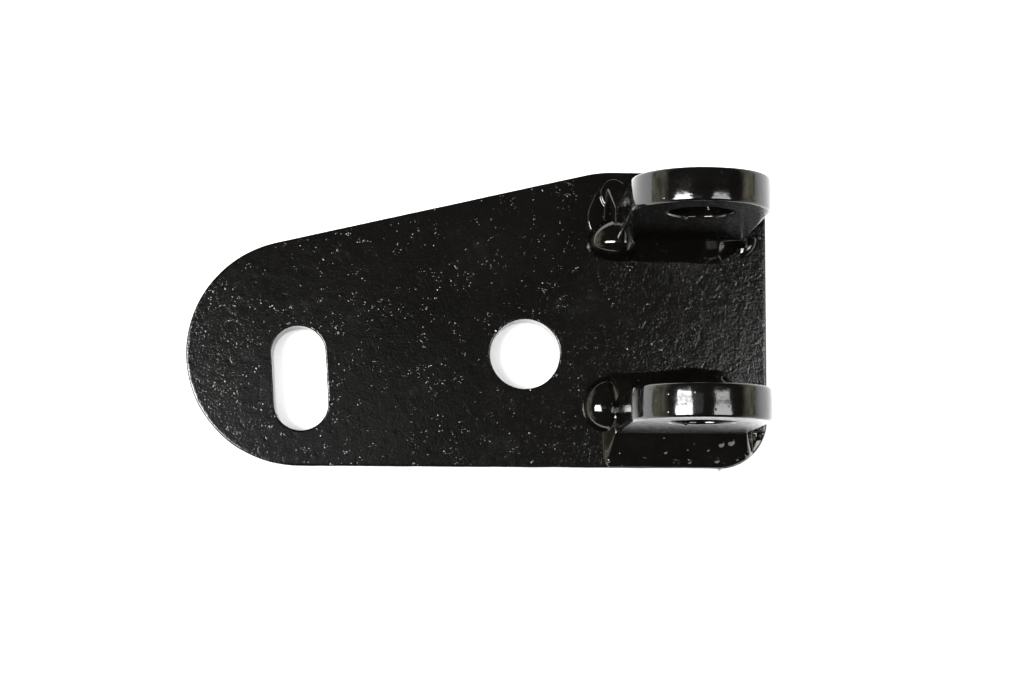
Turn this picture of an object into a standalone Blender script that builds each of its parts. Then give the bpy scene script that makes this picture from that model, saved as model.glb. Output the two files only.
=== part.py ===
"""Welded twin-ear clevis bracket: drilled and slotted plate, two lug ears, weld beads.

Metres, +Z up. The plate lies on z = 0, centred on X and Y. The ears stand on its right end.
"""
import math

import bmesh
import bpy
from mathutils import Matrix, Vector

MM = 0.001

# Plate
PLATE_LENGTH = 148.0 * MM
PLATE_WIDTH = 76.2 * MM
PLATE_T = 7.94 * MM
NOSE_R = 28.9 * MM
SLANT_DEG = 13.07
SHOULDER_R = 30.0 * MM
CORNER_R = 12.5 * MM
PLATE_EDGE = 0.6 * MM

# Round bolt hole, level with the centre of the nose arc
HOLE_X = 12.1 * MM
HOLE_R = 8.89 * MM

# Adjusting slot
SLOT_X = -45.1 * MM
SLOT_Y = -15.8 * MM
SLOT_LENGTH = 26.6 * MM
SLOT_WIDTH = 13.65 * MM
SLOT_TILT_DEG = 4.07

# Ears
EAR_X = 51.3 * MM
EAR_W = 33.0 * MM
EAR_T = 7.94 * MM
EAR_GAP = 41.45 * MM
EAR_MID_Y = -0.93 * MM
PIN_HEIGHT = 45.9 * MM
PIN_R = 7.8 * MM
EAR_EDGE = 0.9 * MM

# Where the clear seats end: on the plate short of the welds, on the ears above them
SEAT_END_X = 24.0 * MM
SEAT_FOOT = 10.0 * MM

# Welds
WELD_CLEAR = 0.3 * MM
WELD_BULGE = 0.14
RING = 10

ENAMEL = (0.012, 0.012, 0.013, 1.0)
EAR_ENAMEL = (0.014, 0.014, 0.014, 1.0)
WELD_ENAMEL = (0.008, 0.008, 0.009, 1.0)

HALF_L = PLATE_LENGTH / 2
HALF_W = PLATE_WIDTH / 2
NOSE_X = NOSE_R - HALF_L
NOSE_Y = NOSE_R - HALF_W
UPPER_IN = EAR_MID_Y + EAR_GAP / 2
UPPER_OUT = UPPER_IN + EAR_T
LOWER_IN = EAR_MID_Y - EAR_GAP / 2
LOWER_OUT = LOWER_IN - EAR_T
EAR_LEFT = EAR_X - EAR_W / 2
EAR_RIGHT = EAR_X + EAR_W / 2
EAR_BASE = PLATE_T + WELD_CLEAR


def clear_scene():
    for obj in list(bpy.data.objects):
        bpy.data.objects.remove(obj, do_unlink=True)


def new_collection(name):
    coll = bpy.data.collections.new(name)
    bpy.context.scene.collection.children.link(coll)
    return coll


def enamel(name, colour, roughness):
    mat = bpy.data.materials.new(name)
    mat.use_nodes = True
    shader = mat.node_tree.nodes["Principled BSDF"]
    shader.inputs["Base Color"].default_value = colour
    shader.inputs["Roughness"].default_value = roughness
    shader.inputs["Metallic"].default_value = 0.0
    mat.diffuse_color = colour
    return mat


def arc(cx, cy, r, start, end, count):
    """Points on an arc, both ends included; angles in degrees."""
    points = []
    for i in range(count + 1):
        a = math.radians(start + (end - start) * i / count)
        points.append((cx + r * math.cos(a), cy + r * math.sin(a)))
    return points


def plate_outline():
    """Anticlockwise outline: bottom edge, right edge, shoulder, slanted edge, nose."""
    a = math.radians(SLANT_DEG)
    nose_top = (NOSE_X - NOSE_R * math.sin(a), NOSE_Y + NOSE_R * math.cos(a))
    meet_x = nose_top[0] + (HALF_W - nose_top[1]) / math.tan(a)
    shoulder_x = meet_x + SHOULDER_R * math.tan(a / 2)
    c = CORNER_R
    points = arc(HALF_L - c, c - HALF_W, c, -90, 0, 16)
    points += arc(HALF_L - c, HALF_W - c, c, 0, 90, 16)
    points += arc(shoulder_x, HALF_W - SHOULDER_R, SHOULDER_R, 90, 90 + SLANT_DEG, 6)
    points += arc(NOSE_X, NOSE_Y, NOSE_R, 90 + SLANT_DEG, 270, 56)
    return points


def slot_outline():
    r = SLOT_WIDTH / 2
    half = SLOT_LENGTH / 2 - r
    return arc(0, half, r, 0, 180, 20) + arc(0, -half, r, 180, 360, 20)


def ear_outline():
    """Ear outline with its pin hole centre at the local origin."""
    r = EAR_W / 2
    foot = EAR_BASE - PLATE_T - PIN_HEIGHT
    return arc(0, 0, r, 0, 180, 40) + [(-r, foot), (r, foot)]


def solid_from_outline(name, points, thickness):
    """Flat closed mesh from a filled curve, extruded evenly about its own plane."""
    curve = bpy.data.curves.new(name + "_outline", "CURVE")
    curve.dimensions = "2D"
    curve.fill_mode = "BOTH"
    curve.extrude = thickness / 2
    spline = curve.splines.new("POLY")
    spline.points.add(len(points) - 1)
    for point, (x, y) in zip(spline.points, points):
        point.co = (x, y, 0.0, 1.0)
    spline.use_cyclic_u = True
    holder = bpy.data.objects.new(name + "_outline", curve)
    bpy.context.scene.collection.objects.link(holder)
    graph = bpy.context.evaluated_depsgraph_get()
    mesh = bpy.data.meshes.new_from_object(holder.evaluated_get(graph))
    mesh.name = name
    bpy.data.objects.remove(holder, do_unlink=True)
    bm = bmesh.new()
    bm.from_mesh(mesh)
    bmesh.ops.remove_doubles(bm, verts=bm.verts, dist=0.00001)
    bmesh.ops.dissolve_limit(bm, angle_limit=0.001, verts=bm.verts, edges=bm.edges)
    bmesh.ops.recalc_face_normals(bm, faces=bm.faces)
    bm.to_mesh(mesh)
    bm.free()
    mesh.materials.clear()
    return mesh


def split_faces(mesh, point, normal):
    """Divide the faces along a plane, so that a flat seat ends short of what stands beyond it."""
    bm = bmesh.new()
    bm.from_mesh(mesh)
    everything = bm.verts[:] + bm.edges[:] + bm.faces[:]
    bmesh.ops.bisect_plane(bm, geom=everything, plane_co=point, plane_no=normal)
    bm.to_mesh(mesh)
    bm.free()


def add_object(name, mesh, coll, material=None):
    obj = bpy.data.objects.new(name, mesh)
    coll.objects.link(obj)
    if material:
        mesh.materials.append(material)
        mesh.shade_smooth()
        mesh.set_sharp_from_angle(angle=math.radians(35))
    return obj


def add_cutter(name, mesh, cutters):
    obj = add_object(name, mesh, cutters)
    obj.display_type = "WIRE"
    obj.hide_render = True
    return obj


def cylinder_mesh(name, radius, depth, matrix):
    bm = bmesh.new()
    bmesh.ops.create_cone(bm, cap_ends=True, segments=72, radius1=radius, radius2=radius,
                          depth=depth, matrix=matrix)
    mesh = bpy.data.meshes.new(name)
    bm.to_mesh(mesh)
    bm.free()
    return mesh


def box_mesh(name, low, high):
    low = Vector(low)
    high = Vector(high)
    size = high - low
    matrix = Matrix.Translation((low + high) / 2) @ Matrix.Diagonal((*size, 1.0))
    bm = bmesh.new()
    bmesh.ops.create_cube(bm, size=1.0, matrix=matrix)
    mesh = bpy.data.meshes.new(name)
    bm.to_mesh(mesh)
    bm.free()
    return mesh


def ellipsoid_mesh(name, centre, radii):
    matrix = Matrix.Translation(Vector(centre)) @ Matrix.Diagonal((*radii, 1.0))
    bm = bmesh.new()
    bmesh.ops.create_uvsphere(bm, u_segments=32, v_segments=20, radius=1.0, matrix=matrix)
    mesh = bpy.data.meshes.new(name)
    bm.to_mesh(mesh)
    bm.free()
    return mesh


def boolean(obj, operation, cutter):
    mod = obj.modifiers.new(operation.lower() + "_" + cutter.name, "BOOLEAN")
    mod.operation = operation
    mod.solver = "EXACT"
    mod.object = cutter


def soften(obj, width, segments):
    mod = obj.modifiers.new("soft_edges", "BEVEL")
    mod.width = width
    mod.segments = segments
    mod.limit_method = "ANGLE"
    mod.angle_limit = math.radians(50)
    mod.harden_normals = False


def build_plate(coll, cutters):
    mesh = solid_from_outline("base_plate", plate_outline(), PLATE_T)
    split_faces(mesh, (SEAT_END_X, 0, 0), (1, 0, 0))
    plate = add_object("base_plate", mesh, coll, enamel("plate_enamel", ENAMEL, 0.32))
    plate.location = (0, 0, PLATE_T / 2)
    hole = cylinder_mesh("bolt_hole_cut", HOLE_R, PLATE_T * 4, Matrix.Translation((HOLE_X, NOSE_Y, 0)))
    boolean(plate, "DIFFERENCE", add_cutter("bolt_hole_cut", hole, cutters))
    slot = solid_from_outline("slot_cut", slot_outline(), PLATE_T * 4)
    slot_cutter = add_cutter("slot_cut", slot, cutters)
    slot_cutter.location = (SLOT_X, SLOT_Y, 0)
    slot_cutter.rotation_euler = (0, 0, math.radians(SLOT_TILT_DEG))
    boolean(plate, "DIFFERENCE", slot_cutter)
    soften(plate, PLATE_EDGE, 2)
    return plate


def build_ear(name, mid_y, coll, cutters):
    """The ear's origin is the centre of its pin hole; its hole axis lies along Y."""
    mesh = solid_from_outline(name, ear_outline(), EAR_T)
    split_faces(mesh, (0, SEAT_FOOT - PIN_HEIGHT, 0), (0, 1, 0))
    ear = add_object(name, mesh, coll, enamel(name + "_enamel", EAR_ENAMEL, 0.16))
    ear.location = (EAR_X, mid_y, PLATE_T + PIN_HEIGHT)
    ear.rotation_euler = (math.radians(90), 0, 0)
    pin = cylinder_mesh(name + "_pin_cut", PIN_R, EAR_T * 4, Matrix.Identity(4))
    pin_cutter = add_cutter(name + "_pin_cut", pin, cutters)
    pin_cutter.location = ear.location
    pin_cutter.rotation_euler = ear.rotation_euler
    boolean(ear, "DIFFERENCE", pin_cutter)
    soften(ear, EAR_EDGE, 2)
    return ear


def fillet_mesh(name, along, face, side, stations):
    """Bead in a corner: legs run out over the plate and up the ear, with a swollen face.

    along is "X" or "Y"; face is the ear face it leans on; side is the direction away from
    the ear; stations are (position, leg on the plate, leg up the ear).
    """
    g = WELD_CLEAR
    bm = bmesh.new()
    rings = []
    for pos, leg_out, leg_up in stations:
        ring = [bm.verts.new(bead_point(along, pos, face + side * g, PLATE_T + g))]
        for i in range(RING + 1):
            t = i / RING
            swell = 1.0 + 4.0 * WELD_BULGE * t * (1.0 - t)
            out = g + (leg_out - g) * (1.0 - t) * swell
            up = g + (leg_up - g) * t * swell
            ring.append(bm.verts.new(bead_point(along, pos, face + side * out, PLATE_T + up)))
        rings.append(ring)
    count = len(rings[0])
    for a, b in zip(rings, rings[1:]):
        for i in range(count):
            j = (i + 1) % count
            bm.faces.new((a[i], a[j], b[j], b[i]))
    bm.faces.new(rings[0])
    bm.faces.new(list(reversed(rings[-1])))
    bmesh.ops.triangulate(bm, faces=bm.faces)
    bmesh.ops.recalc_face_normals(bm, faces=bm.faces)
    mesh = bpy.data.meshes.new(name)
    bm.to_mesh(mesh)
    bm.free()
    return mesh


def bead_point(along, pos, across, height):
    if along == "X":
        return (pos, across, height)
    return (across, pos, height)


def bead_stations(start, end, leg_out, leg_up, round_start, round_end, ripple):
    """Stations along a bead whose legs swell and shrink a little and round off at its ends."""
    count = max(8, int(abs(end - start) / (1.0 * MM)))
    stations = []
    for i in range(count + 1):
        s = i / count
        pos = start + (end - start) * s
        scale = 1.0
        if round_start > 0:
            scale = min(scale, end_scale(abs(pos - start), round_start))
        if round_end > 0:
            scale = min(scale, end_scale(abs(end - pos), round_end))
        wave = 1.0 + ripple * math.sin(2 * math.pi * abs(pos - start) / (3.4 * MM))
        stations.append((pos, leg_out * scale * wave, leg_up * scale * wave))
    return stations


def end_scale(distance, length):
    t = min(1.0, distance / length)
    return 0.18 + 0.82 * math.sqrt(max(0.0, 1.0 - (1.0 - t) ** 2))


def build_fillet(name, along, face, side, stations, coll, roughness):
    mesh = fillet_mesh(name, along, face, side, stations)
    return add_object(name, mesh, coll, enamel(name + "_enamel", WELD_ENAMEL, roughness))


def trim_to_seat(weld, cutters, low_y, high_y):
    """Cut a weld back so that it stands clear of the ear and of the plate."""
    g = WELD_CLEAR
    ear = box_mesh(weld.name + "_ear_cut", (EAR_LEFT - g, low_y - g, -PLATE_T),
                   (EAR_RIGHT + g, high_y + g, PLATE_T + 40 * MM))
    boolean(weld, "DIFFERENCE", add_cutter(weld.name + "_ear_cut", ear, cutters))
    under = box_mesh(weld.name + "_plate_cut", (-HALF_L, -HALF_W * 2, -PLATE_T),
                     (HALF_L * 2, HALF_W * 2, PLATE_T + g))
    boolean(weld, "DIFFERENCE", add_cutter(weld.name + "_plate_cut", under, cutters))


def add_lump(weld, cutters, index, centre, radii):
    """Join a run-off blob to a bead."""
    mesh = ellipsoid_mesh(weld.name + "_lump_%d" % index, centre, radii)
    boolean(weld, "UNION", add_cutter(weld.name + "_lump_%d" % index, mesh, cutters))


def clear_of_lump(weld, cutters, index, centre, radii):
    """Keep a bead the weld clearance away from a neighbouring blob."""
    wide = [r + WELD_CLEAR for r in radii]
    mesh = ellipsoid_mesh(weld.name + "_clear_%d" % index, centre, wide)
    boolean(weld, "DIFFERENCE", add_cutter(weld.name + "_clear_%d" % index, mesh, cutters))


UPPER_LUMP = ((33.7 * MM, 19.1 * MM, PLATE_T + 1.2 * MM), (5.7 * MM, 5.0 * MM, 5.2 * MM))
UPPER_BACK_LUMP = ((34.5 * MM, 32.4 * MM, PLATE_T + 1.0 * MM), (3.6 * MM, 3.8 * MM, 4.2 * MM))
UPPER_NOSE = ((67.2 * MM, 19.4 * MM, PLATE_T + 0.8 * MM), (3.5 * MM, 3.4 * MM, 4.0 * MM))
LOWER_LUMP = ((31.9 * MM, -22.3 * MM, PLATE_T + 1.2 * MM), (5.5 * MM, 6.2 * MM, 5.4 * MM))


def build_upper_welds(coll, cutters):
    inner_run = bead_stations(36.5 * MM, 68.0 * MM, 5.4 * MM, 6.5 * MM, 0.0, 4.0 * MM, 0.03)
    inner = build_fillet("upper_ear_inner_weld", "X", UPPER_IN, -1, inner_run, coll, 0.10)
    add_lump(inner, cutters, 1, *UPPER_NOSE)
    clear_of_lump(inner, cutters, 2, *UPPER_LUMP)
    trim_to_seat(inner, cutters, UPPER_IN, UPPER_OUT)

    outer_run = bead_stations(36.0 * MM, 66.5 * MM, 8.2 * MM, 6.5 * MM, 0.0, 5.0 * MM, 0.03)
    outer = build_fillet("upper_ear_outer_weld", "X", UPPER_OUT, 1, outer_run, coll, 0.11)
    clear_of_lump(outer, cutters, 1, *UPPER_BACK_LUMP)
    trim_to_seat(outer, cutters, UPPER_IN, UPPER_OUT)

    end_run = bead_stations(17.0 * MM, 33.0 * MM, 7.2 * MM, 5.6 * MM, 3.0 * MM, 3.0 * MM, 0.03)
    end = build_fillet("upper_ear_end_weld", "Y", EAR_LEFT, -1, end_run, coll, 0.09)
    add_lump(end, cutters, 1, *UPPER_LUMP)
    add_lump(end, cutters, 2, *UPPER_BACK_LUMP)
    trim_to_seat(end, cutters, UPPER_IN, UPPER_OUT)


def lower_outer_stations():
    """The bead follows the rounded corner of the plate at its right end."""
    stations = []
    corner_x = HALF_L - CORNER_R
    for i in range(35):
        x = (35.5 + 34.0 * i / 34) * MM
        edge = -HALF_W
        if x > corner_x:
            edge = CORNER_R - HALF_W - math.sqrt(CORNER_R ** 2 - (x - corner_x) ** 2)
        reach = LOWER_OUT - edge - 0.9 * MM
        scale = min(1.0, end_scale(69.5 * MM - x, 6.0 * MM))
        wave = 1.0 + 0.03 * math.sin(2 * math.pi * x / (3.4 * MM))
        stations.append((x, reach * min(1.0, scale * 1.05), 6.5 * MM * scale * wave))
    return stations


def build_lower_welds(coll, cutters):
    inner_run = bead_stations(35.5 * MM, 67.0 * MM, 8.4 * MM, 6.5 * MM, 0.0, 5.0 * MM, 0.03)
    inner = build_fillet("lower_ear_inner_weld", "X", LOWER_IN, 1, inner_run, coll, 0.10)
    clear_of_lump(inner, cutters, 1, *LOWER_LUMP)
    trim_to_seat(inner, cutters, LOWER_OUT, LOWER_IN)

    outer = build_fillet("lower_ear_outer_weld", "X", LOWER_OUT, -1, lower_outer_stations(), coll, 0.11)
    trim_to_seat(outer, cutters, LOWER_OUT, LOWER_IN)

    end_run = bead_stations(-31.5 * MM, -19.0 * MM, 7.0 * MM, 5.6 * MM, 3.0 * MM, 3.0 * MM, 0.03)
    end = build_fillet("lower_ear_end_weld", "Y", EAR_LEFT, -1, end_run, coll, 0.09)
    add_lump(end, cutters, 1, *LOWER_LUMP)
    trim_to_seat(end, cutters, LOWER_OUT, LOWER_IN)


def main():
    clear_scene()
    coll = new_collection("twin_ear_clevis_bracket")
    cutters = new_collection("cutters")
    build_plate(coll, cutters)
    build_ear("upper_ear", (UPPER_IN + UPPER_OUT) / 2, coll, cutters)
    build_ear("lower_ear", (LOWER_IN + LOWER_OUT) / 2, coll, cutters)
    build_upper_welds(coll, cutters)
    build_lower_welds(coll, cutters)


main()
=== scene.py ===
"""Looks for a welded clevis bracket: black enamelled plate, two drilled ears, weld beads."""

import math

import bmesh
import bpy
import numpy as np
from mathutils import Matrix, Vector
from mathutils.geometry import delaunay_2d_cdt

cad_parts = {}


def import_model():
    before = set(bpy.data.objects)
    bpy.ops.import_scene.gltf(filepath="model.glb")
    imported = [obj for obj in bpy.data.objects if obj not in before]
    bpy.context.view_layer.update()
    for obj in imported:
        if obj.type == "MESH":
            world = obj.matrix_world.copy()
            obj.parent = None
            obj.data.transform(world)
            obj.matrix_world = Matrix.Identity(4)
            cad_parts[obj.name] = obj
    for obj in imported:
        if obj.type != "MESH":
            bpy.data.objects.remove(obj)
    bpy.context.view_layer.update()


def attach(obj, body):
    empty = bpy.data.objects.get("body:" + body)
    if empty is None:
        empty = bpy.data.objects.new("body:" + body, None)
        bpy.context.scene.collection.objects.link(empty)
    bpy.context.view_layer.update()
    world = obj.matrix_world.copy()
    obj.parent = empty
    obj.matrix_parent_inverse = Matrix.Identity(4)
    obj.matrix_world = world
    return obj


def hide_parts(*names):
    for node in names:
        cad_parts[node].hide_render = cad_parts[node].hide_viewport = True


MM = 0.001

# Plate, in millimetres, in the row frame
LENGTH = 148.0
WIDTH = 76.2
THICK = 7.94
NOSE_R = 28.9
SLANT = math.radians(13.07)
SHOULDER_R = 30.0
CORNER_R = 12.5
HALF_L = LENGTH / 2
HALF_W = WIDTH / 2
NOSE_X = NOSE_R - HALF_L
NOSE_Y = NOSE_R - HALF_W
EDGE_R = 0.5
HOLE_X = 12.1
HOLE_R = 8.89
SLOT_X = -45.1
SLOT_Y = -15.8
SLOT_LENGTH = 26.6
SLOT_WIDTH = 13.65
SLOT_TILT = math.radians(4.07)

# Ears
EAR_X = 51.3
EAR_R = 16.5
EAR_T = 7.94
EAR_MID_Y = -0.93
EAR_GAP = 41.45
PIN_Z = THICK + 45.9
PIN_R = 7.8
UPPER_IN = EAR_MID_Y + EAR_GAP / 2
UPPER_OUT = UPPER_IN + EAR_T
LOWER_IN = EAR_MID_Y - EAR_GAP / 2
LOWER_OUT = LOWER_IN - EAR_T
EAR_LEFT = EAR_X - EAR_R
EAR_RIGHT = EAR_X + EAR_R
EAR_SINK = 0.25

# Welds: how far the back of a deposit lies under the plate's face, and where its raster runs on X
WELD_SINK = 2.2
WELD_X = (24.0, 74.0)

# How a wall leans in near each face: over this height
CROWN_HEIGHT = 3.0


# ---------------------------------------------------------------- outlines

def arc(cx, cy, r, start, end, step):
    """Points on an arc, ends included, about step mm apart at the given radius."""
    count = max(6, int(abs(math.radians(end - start)) * r / step))
    a = np.radians(np.linspace(start, end, count + 1))
    return np.stack([cx + r * np.cos(a), cy + r * np.sin(a)], 1)


def scaled_arc(cx, cy, r, inset, start, end, step):
    """An arc sampled as at radius r, and then drawn at radius r - inset."""
    ring = arc(0, 0, r, start, end, step) * ((r - inset) / r)
    return ring + np.array([cx, cy])


def plate_loop(inset):
    """Anticlockwise outline of the plate, moved in by inset, always with as many points."""
    deg = math.degrees(SLANT)
    top_x = NOSE_X - NOSE_R * math.sin(SLANT)
    top_y = NOSE_Y + NOSE_R * math.cos(SLANT)
    meet = top_x + (HALF_W - top_y) / math.tan(SLANT)
    sx = meet + SHOULDER_R * math.tan(SLANT / 2)
    c = CORNER_R
    parts = [
        scaled_arc(HALF_L - c, c - HALF_W, c, inset, -90, 0, 0.7),
        scaled_arc(HALF_L - c, HALF_W - c, c, inset, 0, 90, 0.7),
        scaled_arc(sx, HALF_W - SHOULDER_R, SHOULDER_R, inset, 90, 90 + deg, 0.9),
        scaled_arc(NOSE_X, NOSE_Y, NOSE_R, inset, 90 + deg, 270, 0.9),
    ]
    return close_with_lines(parts, 1.1)


def close_with_lines(parts, step):
    """Joins arcs end to start with straight stretches of a fixed number of points."""
    out = []
    for i, part in enumerate(parts):
        after = parts[(i + 1) % len(parts)]
        out.append(part)
        gap = np.linalg.norm(after[0] - part[-1])
        if gap > 0.2:
            count = max(1, int(round(gap / step)))
            t = np.arange(1, count) / count
            out.append(part[-1] + (after[0] - part[-1]) * t[:, None])
    return np.concatenate(out)


def hole_loop(inset):
    """The round hole, widened by inset."""
    return scaled_arc(HOLE_X, NOSE_Y, HOLE_R, -inset, 0, 360, 0.7)[:-1]


def slot_loop(inset):
    """The slot, widened by inset; its long axis is SLOT_TILT off Y."""
    r = SLOT_WIDTH / 2
    half = SLOT_LENGTH / 2 - r
    parts = [
        scaled_arc(0, half, r, -inset, 0, 180, 0.7),
        scaled_arc(0, -half, r, -inset, 180, 360, 0.7),
    ]
    ring = close_with_lines(parts, 1.0)
    c, s = math.cos(SLOT_TILT), math.sin(SLOT_TILT)
    return ring @ np.array([[c, s], [-s, c]]) + np.array([SLOT_X, SLOT_Y])


def ear_loop(inset):
    """Ear outline about its pin hole, foot included; the foot stays put when it is inset."""
    foot = THICK - EAR_SINK - PIN_Z
    half = EAR_R - inset
    top = scaled_arc(0, 0, EAR_R, inset, 0, 180, 0.6)
    down = np.linspace(0, foot, 58)[1:]
    base = np.linspace(-half, half, 42)[1:]
    left = np.stack([np.full_like(down, -half), down], 1)
    low = np.stack([base, np.full_like(base, foot)], 1)
    right = np.stack([np.full_like(down, half), down[::-1]], 1)[1:]
    return np.concatenate([top, left, low, right])


def pin_loop(inset):
    """An ear's pin hole, widened by inset."""
    return scaled_arc(0, 0, PIN_R, -inset, 0, 360, 0.5)[:-1]


def inside(points, ring):
    """Which points lie inside a closed ring."""
    x, y = points[:, 0], points[:, 1]
    hit = np.zeros(len(points), bool)
    prev = np.roll(ring, 1, 0)
    for (ax, ay), (bx, by) in zip(prev, ring):
        cross = (ay > y) != (by > y)
        if by != ay:
            hit ^= cross & (x < (bx - ax) * (y - ay) / (by - ay) + ax)
    return hit


# ---------------------------------------------------------------- noise

def band_noise(shape, cell, low, high, seed):
    """Random relief on a raster with wavelengths from low to high mm, of unit spread."""
    rng = np.random.default_rng(seed)
    wave = np.fft.rfft2(rng.standard_normal(shape))
    fy = np.fft.fftfreq(shape[0], cell)[:, None]
    fx = np.fft.rfftfreq(shape[1], cell)[None, :]
    f = np.sqrt(fx * fx + fy * fy)
    keep = np.exp(-((f * low) ** 2)) * (1 - np.exp(-((f * high) ** 2)))
    out = np.fft.irfft2(wave * keep, s=shape)
    return out / out.std()


class Relief:
    """A height raster over the plate's face that can be read at any point."""

    def __init__(self, cell=0.15, margin=2.0):
        self.cell = cell
        self.x0 = -HALF_L - margin
        self.y0 = -HALF_W - margin
        nx = int((LENGTH + 2 * margin) / cell)
        ny = int((WIDTH + 2 * margin) / cell)
        self.z = np.zeros((ny, nx))

    def add_noise(self, low, high, amount, seed):
        self.z += amount * band_noise(self.z.shape, self.cell, low, high, seed)

    def stamp(self, x, y, reach, shape):
        """Adds shape(dx, dy) around a point, out to reach."""
        i0 = max(0, int((x - reach - self.x0) / self.cell))
        i1 = min(self.z.shape[1], int((x + reach - self.x0) / self.cell) + 2)
        j0 = max(0, int((y - reach - self.y0) / self.cell))
        j1 = min(self.z.shape[0], int((y + reach - self.y0) / self.cell) + 2)
        if i1 <= i0 or j1 <= j0:
            return
        gx = self.x0 + np.arange(i0, i1) * self.cell - x
        gy = self.y0 + np.arange(j0, j1) * self.cell - y
        self.z[j0:j1, i0:i1] += shape(gx[None, :], gy[:, None])

    def read(self, x, y):
        u = np.clip((x - self.x0) / self.cell, 0, self.z.shape[1] - 1.001)
        v = np.clip((y - self.y0) / self.cell, 0, self.z.shape[0] - 1.001)
        i, j = u.astype(int), v.astype(int)
        a, b = u - i, v - j
        z = self.z
        low = z[j, i] * (1 - a) + z[j, i + 1] * a
        high = z[j + 1, i] * (1 - a) + z[j + 1, i + 1] * a
        return low * (1 - b) + high * b


def rolled_relief():
    """Hot-rolled plate under enamel: fine grain, scale pits, nibs and short scratches."""
    relief = Relief()
    relief.add_noise(0.32, 0.8, 0.0018, 11)
    relief.add_noise(0.9, 2.6, 0.0006, 12)
    relief.add_noise(3.0, 12.0, 0.004, 13)
    rng = np.random.default_rng(21)
    for _ in range(900):
        x = rng.uniform(-HALF_L, HALF_L)
        y = rng.uniform(-HALF_W, HALF_W)
        r = rng.uniform(0.25, 0.6)
        depth = rng.uniform(0.01, 0.035) * (1 if rng.random() < 0.6 else -0.8)
        relief.stamp(x, y, 3 * r, lambda gx, gy: -depth * np.exp(-(gx * gx + gy * gy) / (r * r)))
    for _ in range(420):
        x = rng.uniform(-HALF_L, HALF_L)
        y = rng.uniform(-HALF_W, HALF_W)
        turn = rng.normal(1.35, 0.5)
        half = rng.uniform(0.4, 1.7)
        depth = rng.uniform(0.015, 0.05)
        c, s = math.cos(turn), math.sin(turn)

        def scratch(gx, gy):
            along = gx * c + gy * s
            across = -gx * s + gy * c
            return -depth * np.exp(-(across / 0.16) ** 2 - (along / half) ** 4)

        relief.stamp(x, y, half * 1.5, scratch)
    return relief


def soft_noise(points, size, seed):
    """Smooth value noise in three dimensions, from -1 to 1."""
    q = points / size
    base = np.floor(q).astype(np.int64)
    frac = q - base
    frac = frac * frac * (3 - 2 * frac)
    total = np.zeros(len(points))
    for dx in (0, 1):
        for dy in (0, 1):
            for dz in (0, 1):
                h = (base[:, 0] + dx) * 374761393 + (base[:, 1] + dy) * 668265263
                h = h + (base[:, 2] + dz) * 2147483647 + seed * 974634777
                h = (h ^ (h >> 13)) * 1274126177
                h = (h ^ (h >> 16)) & 0xFFFF
                w = np.abs(1 - dx - frac[:, 0]) * np.abs(1 - dy - frac[:, 1])
                w = w * np.abs(1 - dz - frac[:, 2])
                total += w * (h / 32767.5 - 1)
    return total


# ---------------------------------------------------------------- meshes

def edge_profile(thick, edge_top, edge_low, crown, steps=5):
    """(inset, height) pairs from the top face's rim, round the edge and down to the bottom face.

    crown is how far the wall leans in over its last CROWN_HEIGHT before each face.
    """
    out = []
    for i in range(steps + 1):
        a = math.pi / 2 * i / steps
        out.append((edge_top * (1 - math.sin(a)), thick - edge_top * (1 - math.cos(a))))
    span = thick - edge_top - edge_low
    rows = max(2, int(span / 0.7))
    for i in range(1, rows):
        out.append((0.0, thick - edge_top - span * i / rows))
    for i in range(steps + 1):
        a = math.pi / 2 * i / steps
        out.append((edge_low * (1 - math.cos(a)), edge_low * (1 - math.sin(a))))
    lean = [crown * max(0.0, 1 - min(z, thick - z) / CROWN_HEIGHT) ** 2 for _, z in out]
    return [(inset + more, z) for (inset, z), more in zip(out, lean)]


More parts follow.
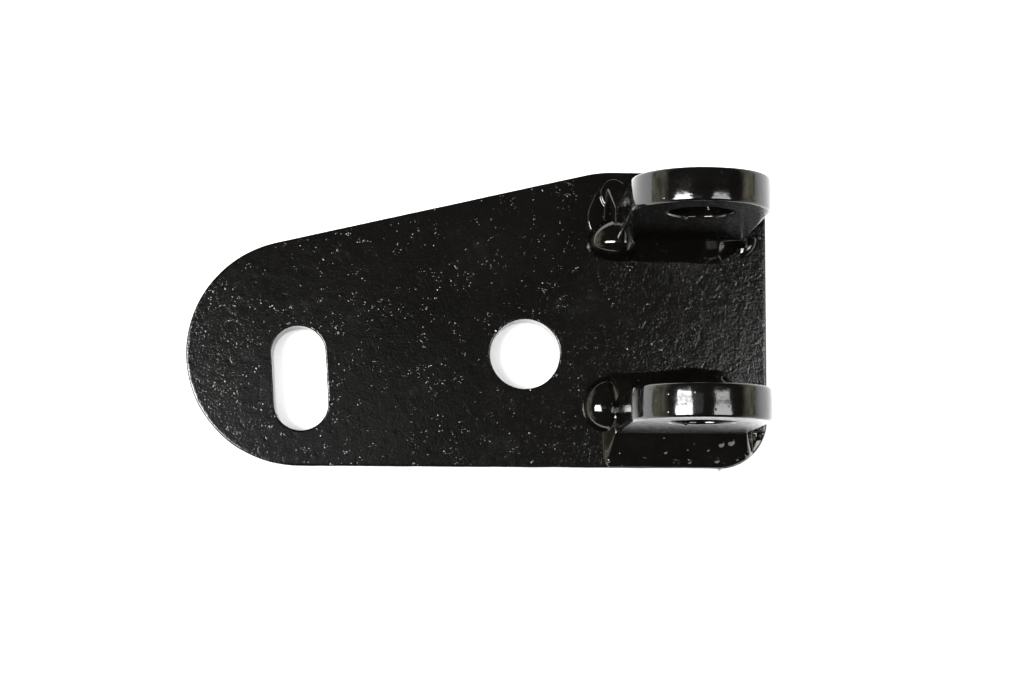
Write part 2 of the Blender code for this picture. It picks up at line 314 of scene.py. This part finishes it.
def slab(loops, thick, edges_top, edges_low, spacing, seed, crown=0.0):
    """Closed slab with rounded edges, one top and one bottom edge radius for each loop.

    loops are functions of inset; the first is the outside. Its walls are rings of quads, and each
    face is filled with triangles through a jittered grid about spacing apart.
    """
    verts = []
    faces = []
    starts = []
    first_inset = []
    last_inset = []
    for k, loop in enumerate(loops):
        profile = edge_profile(thick, edges_top[k], edges_low[k], crown if k == 0 else 0.0)
        first_inset.append(profile[0][0])
        last_inset.append(profile[-1][0])
        rings = []
        for inset, height in profile:
            pts = loop(inset)
            rings.append(len(verts))
            verts.extend((x, y, height) for x, y in pts)
        count = len(loop(0.0))
        starts.append((rings[0], rings[-1], count))
        for a, b in zip(rings, rings[1:]):
            for i in range(count):
                j = (i + 1) % count
                quad = (a + i, b + i, b + j, a + j)
                faces.append(quad if k == 0 else quad[::-1])
    outer = loops[0](first_inset[0])
    low = outer.min(0)
    high = outer.max(0)
    rng = np.random.default_rng(seed)
    xs = np.arange(low[0], high[0], spacing)
    ys = np.arange(low[1], high[1], spacing * 0.866)
    gx, gy = np.meshgrid(xs, ys)
    gx = gx + (np.arange(len(ys)) % 2)[:, None] * spacing / 2
    grid = np.stack([gx.ravel(), gy.ravel()], 1)
    grid += rng.uniform(-0.12, 0.12, grid.shape) * spacing
    keep = inside(grid, loops[0](max(first_inset[0], last_inset[0]) + spacing * 0.7))
    for loop, edge in zip(loops[1:], edges_top[1:]):
        keep &= ~inside(grid, loop(edge + spacing * 0.7))
    grid = grid[keep]
    for side in (0, 1):
        radii = first_inset if side == 0 else last_inset
        rims = [loop(edge) for loop, edge in zip(loops, radii)]
        flat = np.concatenate(rims + [grid])
        index = []
        for first, last, count in starts:
            start = first if side == 0 else last
            index.extend(range(start, start + count))
        height = thick if side == 0 else 0.0
        index.extend(range(len(verts), len(verts) + len(grid)))
        verts.extend((x, y, height) for x, y in grid)
        edges = []
        base = 0
        for rim in rims:
            edges.extend((base + i, base + (i + 1) % len(rim)) for i in range(len(rim)))
            base += len(rim)
        got = delaunay_2d_cdt([Vector(p) for p in flat], edges, [], 0, 1e-7)
        back = [o[0] if o else -1 for o in got[3]]
        tris = np.array([[back[i] for i in t] for t in got[2]])
        tris = tris[(tris >= 0).all(1)]
        mid = flat[tris].mean(1)
        good = inside(mid, rims[0])
        for rim in rims[1:]:
            good &= ~inside(mid, rim)
        a, b, c = flat[tris[:, 0]], flat[tris[:, 1]], flat[tris[:, 2]]
        ab, ac = b - a, c - a
        area = ab[:, 0] * ac[:, 1] - ab[:, 1] * ac[:, 0]
        for t, ok, s in zip(tris, good, area):
            if not ok or abs(s) < 1e-9:
                continue
            t = [index[i] for i in t]
            if (s < 0) != (side == 1):
                t.reverse()
            faces.append(tuple(t))
    return np.array(verts, float), faces


def mesh_object(name, verts, faces, levels=0):
    """A smooth-shaded object from points in millimetres."""
    mesh = bpy.data.meshes.new(name)
    mesh.from_pydata([tuple(v * MM) for v in verts], [], faces)
    mesh.validate()
    bm = bmesh.new()
    bm.from_mesh(mesh)
    for _ in range(levels):
        bmesh.ops.subdivide_edges(bm, edges=bm.edges[:], cuts=1, use_grid_fill=True)
    bmesh.ops.recalc_face_normals(bm, faces=bm.faces)
    bm.to_mesh(mesh)
    bm.free()
    mesh.shade_smooth()
    obj = bpy.data.objects.new(name, mesh)
    bpy.context.scene.collection.objects.link(obj)
    return obj


def points_of(obj):
    """The object's points in millimetres."""
    co = np.zeros(len(obj.data.vertices) * 3)
    obj.data.vertices.foreach_get("co", co)
    return co.reshape(-1, 3) / MM


def normals_of(obj):
    no = np.zeros(len(obj.data.vertices) * 3)
    obj.data.vertices.foreach_get("normal", no)
    return no.reshape(-1, 3)


def set_points(obj, co):
    obj.data.vertices.foreach_set("co", (co * MM).ravel())
    obj.data.update()


def finish_piece(obj, material, slot_name, *nodes):
    """Gives a piece its material, hides the CAD nodes it stands for and hangs it under the root
    body.
    """
    obj.data.materials.clear()
    obj.data.materials.append(material)
    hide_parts(*nodes)
    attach(obj, "root")
    return obj


# ---------------------------------------------------------------- plate

# Burrs and paint nibs round the holes and under the long edge: place, reach and height
PLATE_BURRS = (
    ((4.9, -3.4, THICK), 0.7, 0.30), ((19.6, -14.4, THICK), 0.8, 0.30),
    ((-37.3, -22.4, THICK), 0.7, 0.28), ((-50.6, -25.2, THICK), 0.8, 0.25),
    ((62.2, -HALF_W, 4.0), 1.2, 0.40),
)


def burr(co, place, reach, high):
    """A small raised nib on whatever surface passes the given place."""
    d2 = ((co - np.array(place)) ** 2).sum(1)
    return high * np.exp(-d2 / (0.5 * reach) ** 2)


def build_plate(relief, material):
    """The plate: rolled relief on its faces, a slow wave on its walls, and burrs."""
    loops = [plate_loop, hole_loop, slot_loop]
    verts, faces = slab(loops, THICK, (EDGE_R, 0.4, 0.4), (0.8, 0.5, 0.5), 1.2, 5)
    obj = mesh_object("plate_skin", verts, faces, 2)
    co = points_of(obj)
    no = normals_of(obj)
    push = relief.read(co[:, 0], co[:, 1]) * np.clip(np.abs(no[:, 2]) * 1.6 - 0.6, 0, 1)
    push += 0.035 * soft_noise(co, 2.2, 3) * (1 - np.abs(no[:, 2]))
    push += 0.05 * soft_noise(co, 7.0, 4) * (1 - np.abs(no[:, 2]))
    for place, reach, high in PLATE_BURRS:
        push += burr(co, place, reach, high)
    co += no * push[:, None]
    set_points(obj, co)
    return finish_piece(obj, material, "plate_enamel", "base_plate")


# ---------------------------------------------------------------- ears

def build_ear(name, node, mid_y, seed, material, nib_y):
    """One ear, stood upright at mid_y, with a paint nib in its hole on the side at nib_y."""
    edges = (0.6, 0.45)
    verts, faces = slab([ear_loop, pin_loop], EAR_T, edges, edges, 1.2, seed, 0.14)
    across = mid_y + EAR_T / 2 - verts[:, 2]
    stand = np.stack([verts[:, 0] + EAR_X, across, verts[:, 1] + PIN_Z], 1)
    obj = mesh_object(name, stand, faces, 1)
    co = points_of(obj)
    no = normals_of(obj)
    push = 0.018 * soft_noise(co, 3.3, seed) + 0.035 * soft_noise(co, 9.0, seed + 1)
    push += burr(co, (EAR_X - 2.8, nib_y, PIN_Z - 7.6), 0.8, 0.45)
    co += no * push[:, None]
    set_points(obj, co)
    return finish_piece(obj, material, "ear_enamel", node)


# ---------------------------------------------------------------- welds

def edge_drop(x, y):
    """How far the plate's rounded edge has fallen away at a point, and the inset from the rim."""
    c = CORNER_R
    right = HALF_L - x
    low = y + HALF_W
    high = HALF_W - y
    inset = np.minimum(right, np.minimum(low, high))
    for cy, sign in ((c - HALF_W, -1), (HALF_W - c, 1)):
        dx = x - (HALF_L - c)
        dy = (y - cy) * sign
        corner = (dx > 0) & (dy > 0)
        inset = np.where(corner, c - np.hypot(dx, dy), inset)
    d = np.clip(inset, 0, EDGE_R)
    return EDGE_R - np.sqrt(EDGE_R ** 2 - (EDGE_R - d) ** 2), inset


def smooth_max(a, b, k):
    """The larger of two heights, blended over k where they meet."""
    h = np.clip(0.5 + 0.5 * (a - b) / k, 0, 1)
    return b + (a - b) * h + k * h * (1 - h)


def skirt(x, y, low_y, high_y, legs, rise, power, wav):
    """Height of a bead that runs round an ear's foot, with its own leg on each side.

    legs are left, right, low-Y and high-Y; the height is negative past the toe.
    """
    left, right, low, high = legs
    dx = np.where(x < EAR_LEFT, x - EAR_LEFT, np.where(x > EAR_RIGHT, x - EAR_RIGHT, 0.0))
    dy = np.where(y < low_y, y - low_y, np.where(y > high_y, y - high_y, 0.0))
    leg_x = np.where(dx < 0, left, right) * wav
    leg_y = np.where(dy < 0, low, high) * wav
    t = 1 - (np.abs(dx / leg_x) ** 3.5 + np.abs(dy / leg_y) ** 3.5) ** (1 / 3.5)
    return np.where(t > 0, rise * np.abs(t) ** power, rise * np.maximum(t, -1) * 0.6)


def dome(x, y, place, reach, height, turn=0.0, flat=2.0):
    """A rounded blob; negative outside its rim.

    reach is left, right, low and high; flat above 2 gives a level top with a steep rim.
    """
    c, s = math.cos(turn), math.sin(turn)
    u = (x - place[0]) * c + (y - place[1]) * s
    v = -(x - place[0]) * s + (y - place[1]) * c
    u = u / np.where(u < 0, reach[0], reach[1])
    v = v / np.where(v < 0, reach[2], reach[3])
    r = np.sqrt(u * u + v * v)
    top = np.clip(1 - r ** flat, 0, 1)
    return np.where(r < 1, height * np.sqrt(top), -height * (r - 1) * 1.2)


def pad(depth, edge, height):
    """A level deposit with its rim falling away over edge; depth is how far inside its outline."""
    t = np.clip(depth / edge, 0, 1)
    return np.where(depth > 0, height * np.sqrt(t * (2 - t)), depth)


def ease(x, start, end):
    """Rises smoothly from 0 at start to 1 at end."""
    t = np.clip((x - start) / (end - start), 0, 1)
    return t * t * (3 - 2 * t)


def weld_patch(name, y0, y1, height):
    """Closed weld deposit: its skin is height(x, y) above the plate, its back lies in the plate."""
    cell = 0.2
    x0, x1 = WELD_X
    xs = np.arange(x0, x1 + cell / 2, cell)
    ys = np.arange(y0, y1 + cell / 2, cell)
    gx, gy = np.meshgrid(xs, ys)
    h = height(gx, gy)
    drop, inset = edge_drop(gx, gy)
    z = THICK - drop + smooth_max(h, np.full_like(h, -0.12), 0.10)
    near = (h > -0.35) & (inset > 0.12)
    cells = near[:-1, :-1] & near[1:, :-1] & near[:-1, 1:] & near[1:, 1:]
    cells = drop_corner_touches(cells)
    used = np.zeros_like(near)
    used[:-1, :-1] |= cells
    used[1:, :-1] |= cells
    used[:-1, 1:] |= cells
    used[1:, 1:] |= cells
    number = -np.ones(near.shape, int)
    number[used] = np.arange(used.sum())
    n = int(used.sum())
    top = np.stack([gx[used], gy[used], z[used]], 1)
    back = top.copy()
    back[:, 2] = THICK - WELD_SINK
    faces = []
    rows, cols = np.nonzero(cells)
    for j, i in zip(rows, cols):
        a, b, c, d = number[j, i], number[j, i + 1], number[j + 1, i + 1], number[j + 1, i]
        faces.append((a, b, c, d))
        faces.append((a + n, d + n, c + n, b + n))
    padded = np.pad(cells, 1)
    for j, i in zip(rows, cols):
        a, b, c, d = number[j, i], number[j, i + 1], number[j + 1, i + 1], number[j + 1, i]
        if not padded[j, i + 1]:
            faces.append((a, a + n, b + n, b))
        if not padded[j + 1, i + 2]:
            faces.append((b, b + n, c + n, c))
        if not padded[j + 2, i + 1]:
            faces.append((c, c + n, d + n, d))
        if not padded[j + 1, i]:
            faces.append((d, d + n, a + n, a))
    return mesh_object(name, np.concatenate([top, back]), faces)


def drop_corner_touches(cells):
    """Fills cells so that no two meet only at a corner."""
    for _ in range(4):
        a, b = cells[:-1, :-1], cells[1:, 1:]
        c, d = cells[1:, :-1], cells[:-1, 1:]
        one = a & b & ~c & ~d
        two = c & d & ~a & ~b
        if not one.any() and not two.any():
            break
        cells[1:, :-1] |= one
        cells[:-1, :-1] |= two
    return cells


def wobble(x, y, size, seed):
    """soft_noise over the plate's face."""
    pts = np.stack([x.ravel(), y.ravel(), np.zeros(x.size)], 1)
    return soft_noise(pts, size, seed).reshape(x.shape)


def upper_weld_height(x, y):
    """Bead along the upper ear's foot, with run-off blobs at its left end in a low pool."""
    wav = 1 + 0.04 * wobble(x, y, 6.0, 31) + 0.02 * wobble(x, y, 1.8, 32)
    low = 4.9 + 0.5 * ease(x, 50, 60) - 3.9 * ease(x, 61, 68)
    h = skirt(x, y, UPPER_IN, UPPER_OUT, (2.8, 1.4, low, 8.4), 6.0, 1.1, wav)
    shore = 7.2 * wav - np.hypot(x - 35.2, (y - 26.5) * 0.85)
    ridges = wobble(x, y, 1.9, 33) + 0.4 * wobble(x, y, 1.0, 34)
    valley = np.exp(-((x - 33.2) / 2.2) ** 2 - ((y - 27.0) / 1.6) ** 2)
    h = smooth_max(h, pad(shore, 0.45, 0.40) + 0.12 * valley * ridges, 0.15)
    tip = 3.5 - np.hypot(x - 34.7, (y - 32.2) * 0.85)
    h = smooth_max(h, pad(tip, 0.5, 0.8), 0.15)
    h = smooth_max(h, dome(x, y, (36.8, 19.2), (9.0, 3.6, 4.3, 7.2), 7.2), 0.3)
    h = smooth_max(h, dome(x, y, (69.2, 18.9), (3.3, 3.3, 1.8, 1.9), 1.4, 0.93), 0.3)
    return smooth_max(h, dome(x, y, (72.0, 21.3), (0.8, 0.8, 0.6, 0.6), 0.5), 0.2)


def lower_weld_height(x, y):
    """Bead round the lower ear's foot, out to the plate's edge, with a run-off blob and spatter."""
    wav = 1 + 0.04 * wobble(x, y, 6.0, 41) + 0.02 * wobble(x, y, 1.8, 42)
    high = 7.8 + 1.2 * ease(x, 38, 54) - 6.0 * ease(x, 61, 69)
    h = skirt(x, y, LOWER_OUT, LOWER_IN, (2.8, 2.6, 8.6, high), 6.4, 1.1, wav)
    h = h * (0.68 + 0.32 * ease(x, EAR_LEFT, 41.0))
    inset = edge_drop(x, y)[1]
    shore = x - 32.2 - 0.05 * (y + 33.0) ** 2 + 0.5 * (wav - 1)
    side = pad(np.minimum(shore, -28.5 - y), 0.45, 0.5)
    side = side + 0.8 * ease(inset, 0, 4) * ease(shore, 0, 2)
    h = smooth_max(h, np.minimum(side, 0.35 + 0.6 * inset), 0.3)
    h = smooth_max(h, dome(x, y, (33.4, -22.8), (6.7, 3.4, 6.2, 7.8), 4.8, 0.0, 2.3), 0.25)
    h = smooth_max(h, dome(x, y, (50.6, -14.9), (3.4, 3.8, 1.0, 1.2), 1.3, 0.06), 0.5)
    for sx, sy, sr in SPATTER:
        h = h + 0.6 * sr * np.exp(-((x - sx) ** 2 + (y - sy) ** 2) / (0.6 * sr * sr))
    return h


# Spatter and paint runs on the lower outer weld: x, y and radius
SPATTER = (
    (36.2, -34.8, 0.6), (33.2, -36.8, 0.6), (47.6, -34.0, 0.6), (49.9, -36.3, 0.6),
    (50.8, -36.6, 0.9), (52.4, -36.9, 0.7), (53.8, -36.4, 0.8), (60.8, -36.0, 0.9),
    (58.4, -33.4, 0.5), (61.6, -31.9, 0.9), (64.0, -31.4, 1.1), (70.0, -30.3, 0.8),
    (68.8, -34.6, 1.2), (71.8, -29.8, 0.7), (66.0, -35.6, 0.6), (42.0, -35.2, 0.4),
)


# ---------------------------------------------------------------- materials

ENAMEL_IOR = 1.5


def new_material(name):
    mat = bpy.data.materials.new(name)
    mat.use_nodes = True
    tree = mat.node_tree
    return mat, tree, tree.nodes["Principled BSDF"]


def node(tree, kind, **values):
    n = tree.nodes.new(kind)
    for key, value in values.items():
        if key in n.inputs:
            n.inputs[key].default_value = value
        else:
            setattr(n, key, value)
    return n


def ramp(tree, source, stops):
    n = tree.nodes.new("ShaderNodeValToRGB")
    n.color_ramp.elements.remove(n.color_ramp.elements[1])
    for i, (pos, value) in enumerate(stops):
        e = n.color_ramp.elements[0] if i == 0 else n.color_ramp.elements.new(pos)
        e.position = pos
        e.color = value if isinstance(value, tuple) else (value, value, value, 1)
    tree.links.new(source, n.inputs["Fac"])
    return n.outputs["Color"]


def math_node(tree, op, a, b):
    n = tree.nodes.new("ShaderNodeMath")
    n.operation = op
    for i, v in enumerate((a, b)):
        if isinstance(v, (int, float)):
            n.inputs[i].default_value = v
        else:
            tree.links.new(v, n.inputs[i])
    return n.outputs[0]


def bump(tree, height, strength, distance, normal=None):
    n = tree.nodes.new("ShaderNodeBump")
    n.inputs["Strength"].default_value = strength
    n.inputs["Distance"].default_value = distance
    tree.links.new(height, n.inputs["Height"])
    if normal:
        tree.links.new(normal, n.inputs["Normal"])
    return n.outputs["Normal"]


def noise(tree, coords, scale, detail=3.0, rough=0.5):
    n = node(tree, "ShaderNodeTexNoise", Scale=scale, Detail=detail, Roughness=rough)
    tree.links.new(coords, n.inputs["Vector"])
    return n.outputs["Fac"]


def voronoi(tree, coords, scale):
    n = node(tree, "ShaderNodeTexVoronoi", Scale=scale)
    n.feature = "F1"
    tree.links.new(coords, n.inputs["Vector"])
    return n


def mix_colour(tree, fac, a, b):
    n = tree.nodes.new("ShaderNodeMix")
    n.data_type = "RGBA"
    tree.links.new(fac, n.inputs["Factor"])
    for name, v in (("A", a), ("B", b)):
        socket = [s for s in n.inputs if s.name == name and s.type == "RGBA"][0]
        if isinstance(v, tuple):
            socket.default_value = v
        else:
            tree.links.new(v, socket)
    return [s for s in n.outputs if s.type == "RGBA"][0]


def plate_material():
    """Gloss enamel over rolled scale: black, grained, with hairline scratches, and raised nibs
    whose pale colour is a painted glint.
    """
    mat, tree, shader = new_material("plate_enamel_look")
    coords = tree.nodes.new("ShaderNodeTexCoord").outputs["Object"]
    grain = noise(tree, coords, 1900.0, 2.0, 0.6)
    coarse = noise(tree, coords, 700.0, 3.0, 0.55)
    warp = node(tree, "ShaderNodeTexNoise", Scale=1300.0, Detail=1.0)
    tree.links.new(coords, warp.inputs["Vector"])
    bent = tree.nodes.new("ShaderNodeVectorMath")
    bent.operation = "MULTIPLY_ADD"
    tree.links.new(warp.outputs["Color"], bent.inputs[0])
    bent.inputs[1].default_value = (0.0009, 0.0009, 0.0)
    tree.links.new(coords, bent.inputs[2])
    glint = voronoi(tree, bent.outputs["Vector"], 1300.0)
    tip = ramp(tree, glint.outputs["Distance"], [(0.0, 1.0), (0.3, 0.0)])
    some = ramp(tree, noise(tree, coords, 300.0, 3.0, 0.65), [(0.0, 0.0), (0.53, 0.0), (0.68, 1.0)])
    spark = math_node(tree, "MULTIPLY", tip, some)
    broad = noise(tree, coords, 60.0, 2.0, 0.5)
    # Nib dots: a bump raises them for real, and their pale base colour is a painted glint
    specks = voronoi(tree, coords, 900.0)
    nib = ramp(tree, specks.outputs["Distance"], [(0.0, 1.0), (0.11, 0.55), (0.2, 0.0)])
    pick = ramp(tree, noise(tree, coords, 330.0, 1.0, 0.4), [(0.0, 0.0), (0.6, 0.0), (0.66, 1.0)])
    nib_and_painted_glint = math_node(tree, "MULTIPLY", nib, pick)
    dark, light = (0.0014, 0.0013, 0.0010, 1), (0.0024, 0.0022, 0.0018, 1)
    black = ramp(tree, broad, [(0.3, dark), (0.7, light)])
    # Mixes the painted glint colour of the nibs into the black
    colour = mix_colour(tree, nib_and_painted_glint, black, (0.03, 0.03, 0.031, 1))
    tree.links.new(colour, shader.inputs["Base Color"])
    rough = ramp(tree, coarse, [(0.25, 0.08), (0.75, 0.14)])
    cloud = ramp(tree, noise(tree, coords, 85.0, 3.0, 0.6), [(0.0, 0.0), (0.62, 0.0), (0.72, 0.06)])
    rough = math_node(tree, "ADD", rough, cloud)
    tree.links.new(rough, shader.inputs["Roughness"])
    shader.inputs["IOR"].default_value = ENAMEL_IOR
    n1 = bump(tree, coarse, 0.15, 0.00008)
    n2 = bump(tree, grain, 0.75, 0.00006, n1)
    n3 = bump(tree, nib_and_painted_glint, 0.5, 0.00008, n2)
    n4 = bump(tree, spark, 1.0, 0.00010, n3)
    tree.links.new(n4, shader.inputs["Normal"])
    return mat


def gloss_material(name, rough_low, rough_high, wave, colour, face_rough=None):
    """Thick dipped enamel: wet gloss with a slow paint wave and a few pale specks.

    With face_rough, what faces along Y is the thinner, grained paint of a rolled face.
    """
    mat, tree, shader = new_material(name)
    coords = tree.nodes.new("ShaderNodeTexCoord").outputs["Object"]
    flow = noise(tree, coords, 180.0, 2.0, 0.5)
    fine = noise(tree, coords, 1400.0, 2.0, 0.5)
    # Small pale dots in the base colour, also raised by a bump
    speck_cells = voronoi(tree, coords, 560.0)
    dots = ramp(tree, speck_cells.outputs["Distance"], [(0.0, 1.0), (0.10, 0.4), (0.17, 0.0)])
    pick = ramp(tree, noise(tree, coords, 220.0, 2.0, 0.5), [(0.0, 0.0), (0.50, 0.0), (0.56, 1.0)])
    speck = math_node(tree, "MULTIPLY", dots, pick)
    shade = ramp(tree, flow, [(0.3, colour), (0.7, tuple(c * 1.6 for c in colour[:3]) + (1,))])
    mixed = mix_colour(tree, speck, shade, (0.02, 0.02, 0.02, 1))
    tree.links.new(mixed, shader.inputs["Base Color"])
    rough = ramp(tree, fine, [(0.3, rough_low), (0.75, rough_high)])
    shader.inputs["IOR"].default_value = ENAMEL_IOR
    n1 = bump(tree, flow, 0.35, wave)
    if face_rough:
        split = tree.nodes.new("ShaderNodeSeparateXYZ")
        tree.links.new(tree.nodes.new("ShaderNodeTexCoord").outputs["Normal"], split.inputs[0])
        facing = math_node(tree, "ABSOLUTE", split.outputs["Y"], 0.0)
        face = ramp(tree, facing, [(0.7, 0.0), (0.95, 1.0)])
        blotch = noise(tree, coords, 1100.0, 3.0, 0.65)
        rolled = ramp(tree, blotch, [(0.3, face_rough * 0.8), (0.7, face_rough * 1.3)])
        rough = mix_colour(tree, face, rough, rolled)
        grain = math_node(tree, "MULTIPLY", noise(tree, coords, 1500.0, 2.0, 0.6), face)
        n1 = bump(tree, grain, 1.0, 0.00008, n1)
    tree.links.new(rough, shader.inputs["Roughness"])
    n2 = bump(tree, fine, 0.25, 0.00003, n1)
    n3 = bump(tree, speck, 0.8, 0.00010, n2)
    tree.links.new(n3, shader.inputs["Normal"])
    return mat


def floor_material():
    mat, tree, shader = new_material("floor_paper")
    coords = tree.nodes.new("ShaderNodeTexCoord").outputs["Object"]
    tone = ramp(tree, noise(tree, coords, 30.0), [(0.3, 0.86), (0.7, 0.88)])
    tree.links.new(tone, shader.inputs["Base Color"])
    shader.inputs["Roughness"].default_value = 0.85
    shader.inputs["Specular IOR Level"].default_value = 0.2
    return mat


# ---------------------------------------------------------------- set

def build_floor():
    """A plain sheet just under the part."""
    bm = bmesh.new()
    bmesh.ops.create_grid(bm, x_segments=2, y_segments=2, size=2.5)
    mesh = bpy.data.meshes.new("studio_floor")
    bm.to_mesh(mesh)
    bm.free()
    obj = bpy.data.objects.new("studio_floor", mesh)
    obj.location = (0, 0, -0.0002)
    bpy.context.scene.collection.objects.link(obj)
    mesh.materials.append(floor_material())


def softbox(name, place, aim, across, along, radiance):
    """An area light of even radiance, in watts from its size; along is its length on Y."""
    data = bpy.data.lights.new(name, "AREA")
    data.shape = "RECTANGLE"
    data.size = along
    data.size_y = across
    data.energy = radiance * math.pi * across * along
    obj = bpy.data.objects.new(name, data)
    obj.location = place
    back = (Vector(place) - Vector(aim)).normalized()
    obj.rotation_euler = back.to_track_quat("Z", "Y").to_euler()
    bpy.context.scene.collection.objects.link(obj)
    return obj


# Softboxes: side, X, width and radiance; and their two panes: name, Y, share of the width, length
SOFTBOXES = (("left", -0.585, 0.56, 42.0), ("right", 0.50, 0.50, 10.5))
PANES = (("_tall", -0.108, 1.0, 0.284), ("_short", 0.088, 0.82, 0.055))
SOFTBOX_Z = 0.95


def build_lights():
    """Two softboxes, each of two panes with a bar between them, and a dim cool panel overhead."""
    for side, x, width, power in SOFTBOXES:
        for pane, y, share, length in PANES:
            softbox(side + pane, (x, y, SOFTBOX_Z), (0, y, 0), width * share, length, power)
    sky = softbox("sky_left", (-0.275, 0.0, 1.0), (-0.275, 0.0, 0), 0.13, 0.5, 0.65)
    sky.data.color = (0.92, 0.96, 1.0)


def build_world():
    """A dark studio with dim warm walls at the left and right; the backdrop itself is pale."""
    world = bpy.data.worlds.new("studio")
    bpy.context.scene.world = world
    world.use_nodes = True
    tree = world.node_tree
    room = tree.nodes["Background"]
    coords = tree.nodes.new("ShaderNodeTexCoord").outputs["Generated"]
    split = tree.nodes.new("ShaderNodeSeparateXYZ")
    tree.links.new(coords, split.inputs[0])
    band = ramp(tree, split.outputs["Z"], [(0.0, 1.0), (0.30, 1.0), (0.42, 0.35), (0.5, 0.0)])
    across = math_node(tree, "ABSOLUTE", split.outputs["X"], 0.0)
    sides = ramp(tree, across, [(0.0, 0.0), (0.62, 0.0), (0.85, 1.0)])
    patches = ramp(tree, noise(tree, coords, 7.0, 3.0, 0.6), [(0.35, 0.15), (0.62, 1.15)])
    wall = math_node(tree, "MULTIPLY", math_node(tree, "MULTIPLY", band, sides), patches)
    tone = mix_colour(tree, wall, (0.045, 0.045, 0.045, 1), (1.7, 1.62, 1.2, 1))
    tree.links.new(tone, room.inputs["Color"])
    pale = tree.nodes.new("ShaderNodeBackground")
    pale.inputs["Color"].default_value = (1.0, 1.0, 1.0, 1)
    pale.inputs["Strength"].default_value = 1.5
    path = tree.nodes.new("ShaderNodeLightPath")
    seen = math_node(tree, "MAXIMUM", path.outputs["Is Camera Ray"], path.outputs["Is Diffuse Ray"])
    pick = tree.nodes.new("ShaderNodeMixShader")
    tree.links.new(seen, pick.inputs[0])
    tree.links.new(room.outputs[0], pick.inputs[1])
    tree.links.new(pale.outputs[0], pick.inputs[2])
    tree.links.new(pick.outputs[0], tree.nodes["World Output"].inputs["Surface"])


# The camera fitted to the photograph: place in metres, turn in degrees, lens for a 36 mm sensor
CAMERA_PLACE = (-0.01104, -0.06410, 0.53695)
CAMERA_TURN = (6.249, -2.171, 0.2695)
CAMERA_LENS = 73.42


def build_camera():
    data = bpy.data.cameras.new("camera")
    data.sensor_width = 36.0
    data.lens = CAMERA_LENS
    data.clip_start = 0.01
    data.clip_end = 20.0
    obj = bpy.data.objects.new("camera", data)
    obj.location = CAMERA_PLACE
    obj.rotation_euler = [math.radians(turn) for turn in CAMERA_TURN]
    bpy.context.scene.collection.objects.link(obj)
    bpy.context.scene.camera = obj


def main():
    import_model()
    bpy.context.scene.view_settings.view_transform = "Standard"
    relief = rolled_relief()
    build_plate(relief, plate_material())
    black = (0.0013, 0.0012, 0.0010, 1)
    upper_look = gloss_material("upper_ear_enamel_look", 0.07, 0.13, 0.00025, black, 0.14)
    lower_look = gloss_material("lower_ear_enamel_look", 0.07, 0.13, 0.00025, black, 0.20)
    weld_look = gloss_material("weld_enamel_look", 0.05, 0.10, 0.00020, black)
    build_ear("upper_ear_skin", "upper_ear", (UPPER_IN + UPPER_OUT) / 2, 7, upper_look, UPPER_IN)
    build_ear("lower_ear_skin", "lower_ear", (LOWER_IN + LOWER_OUT) / 2, 17, lower_look, LOWER_OUT)
    upper = weld_patch("upper_weld_skin", 10.5, 38.1, upper_weld_height)
    finish_piece(upper, weld_look, "weld_enamel", "upper_ear_inner_weld",
                 "upper_ear_outer_weld", "upper_ear_end_weld")
    lower = weld_patch("lower_weld_skin", -38.1, -8.0, lower_weld_height)
    finish_piece(lower, weld_look, "weld_enamel", "lower_ear_inner_weld",
                 "lower_ear_outer_weld", "lower_ear_end_weld")
    build_floor()
    build_lights()
    build_world()
    build_camera()


main()
